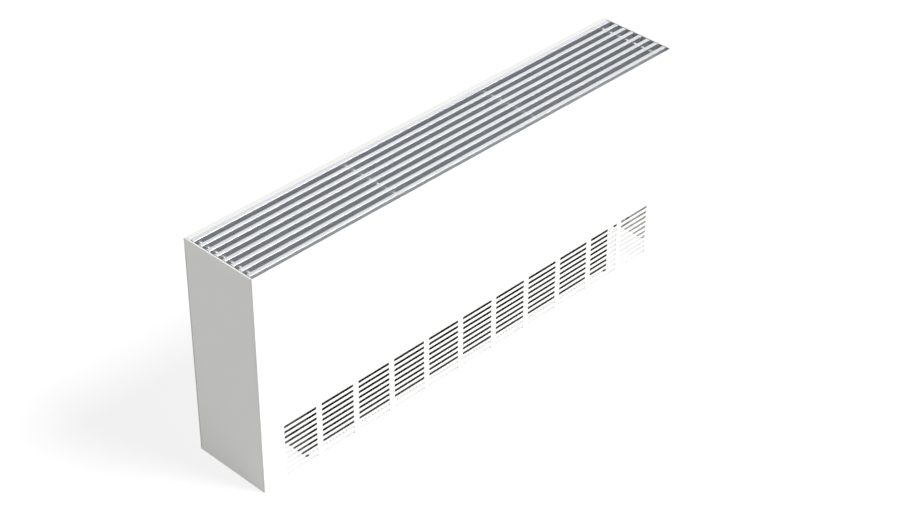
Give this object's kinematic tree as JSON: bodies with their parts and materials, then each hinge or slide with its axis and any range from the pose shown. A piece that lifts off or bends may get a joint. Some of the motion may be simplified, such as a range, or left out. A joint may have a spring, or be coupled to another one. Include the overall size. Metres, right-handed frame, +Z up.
{
  "type": "baseboard convector heater",
  "caption": "Floor-standing sheet-metal convector heater with slotted front, lift-out bar grille on top, finned copper exchanger and two angle valves inside.",
  "frame": {"origin": "centre of the casing's footprint on the floor", "axes": "+X along the length, +Y from the slotted front to the wall side, +Z up"},
  "size_m": [0.92, 0.15, 0.4],
  "materials": {
    "white_enamel": "satin white powder coat",
    "white_rails": "satin white powder coat",
    "anodised_bars": "natural anodised, satin",
    "bright_steel": "satin",
    "graphite_coat": "satin graphite grey coat over the whole exchanger",
    "galvanised": "galvanised",
    "zinc_steel": "zinc plated",
    "nickelled_brass": "nickel plated brass",
    "bare_brass": "machined brass",
    "gasket_rubber": "matt",
    "white_plastic": "moulded, fine texture"
  },
  "bodies": {
    "casing": {"air_vent_body": "nickelled_brass", "back_panel": "white_enamel", "bracket_screws": "zinc_steel", "casing_screws": "zinc_steel", "crossover_bend": "graphite_coat", "fin_pack": "graphite_coat", "front_lower_tube": "graphite_coat", "front_rail": "white_rails", "front_return_bend": "graphite_coat", "front_upper_tube": "graphite_coat", "left_brace": "white_rails", "left_bracket": "galvanised", "left_end_panel": "white_enamel", "left_end_plate": "graphite_coat", "left_ledge": "white_rails", "rear_lower_tube": "graphite_coat", "rear_rail": "white_rails", "rear_return_bend": "graphite_coat", "rear_upper_tube": "graphite_coat", "return_bonnet": "nickelled_brass", "return_union_gasket": "gasket_rubber", "return_union_nut": "nickelled_brass", "return_union_tail": "bare_brass", "return_valve_body": "nickelled_brass", "right_brace": "white_rails", "right_bracket": "galvanised", "right_end_panel": "white_enamel", "right_end_plate": "graphite_coat", "right_ledge": "white_rails", "supply_bonnet": "nickelled_brass", "supply_union_gasket": "gasket_rubber", "supply_union_nut": "nickelled_brass", "supply_union_tail": "bare_brass", "supply_valve_body": "nickelled_brass", "vent_boss": "bare_brass"},
    "handwheel": {"handwheel": "white_plastic"},
    "supply_plug": {"supply_plug": "zinc_steel"},
    "return_spindle": {"return_spindle": "zinc_steel"},
    "return_plug": {"return_plug": "zinc_steel"},
    "lockshield_cap": {"lockshield_cap": "white_plastic"},
    "bleed_screw": {"bleed_screw": "zinc_steel"},
    "grille": {"grille_bar_1": "anodised_bars", "grille_bar_2": "anodised_bars", "grille_bar_3": "anodised_bars", "grille_bar_4": "anodised_bars", "grille_bar_5": "anodised_bars", "grille_bar_6": "anodised_bars", "grille_bar_7": "anodised_bars", "grille_bar_8": "anodised_bars", "left_tie_rod": "bright_steel", "right_tie_rod": "bright_steel", "grille_spacers": "bright_steel"},
    "front": {"front_panel": "white_enamel", "foot_rail": "white_rails", "panel_stiffener": "white_rails", "panel_clips": "zinc_steel"}
  },
  "joints": [
    {"name": "front_pull", "type": "slide", "parent": "casing", "child": "front", "axis": [0, -1, 0], "range_m": [0, 0.15]},
    {"name": "grille_lift", "type": "slide", "parent": "casing", "child": "grille", "axis": [0, 0, 1], "range_m": [0, 0.12]},
    {"name": "handwheel_turn", "type": "hinge", "parent": "casing", "child": "handwheel", "pos_m": [0.405, -0.03, 0.127], "axis": [0, 0, 1], "range_deg": [0, 270]},
    {"name": "supply_plug_lift", "type": "slide", "parent": "casing", "child": "supply_plug", "axis": [0, 0, 1], "range_m": [0, 0.003]},
    {"name": "return_spindle_turn", "type": "hinge", "parent": "casing", "child": "return_spindle", "pos_m": [0.405, 0.03, 0.11], "axis": [0, 0, 1], "range_deg": [0, 270]},
    {"name": "return_plug_lift", "type": "slide", "parent": "casing", "child": "return_plug", "axis": [0, 0, 1], "range_m": [0, 0.003]},
    {"name": "lockshield_cap_lift", "type": "slide", "parent": "casing", "child": "lockshield_cap", "axis": [0, 0, 1], "range_m": [0, 0.05]},
    {"name": "bleed_screw_turn", "type": "hinge", "parent": "casing", "child": "bleed_screw", "pos_m": [-0.369, 0.03, 0.108], "axis": [0, 0, 1], "range_deg": [0, 360]}
  ],
  "couplings": [
    {"joint": "supply_plug_lift", "follows": "handwheel_turn", "m_per_rad": 0.00063661},
    {"joint": "return_spindle_turn", "follows": "return_plug_lift", "rad_per_m": 1570.8}
  ]
}
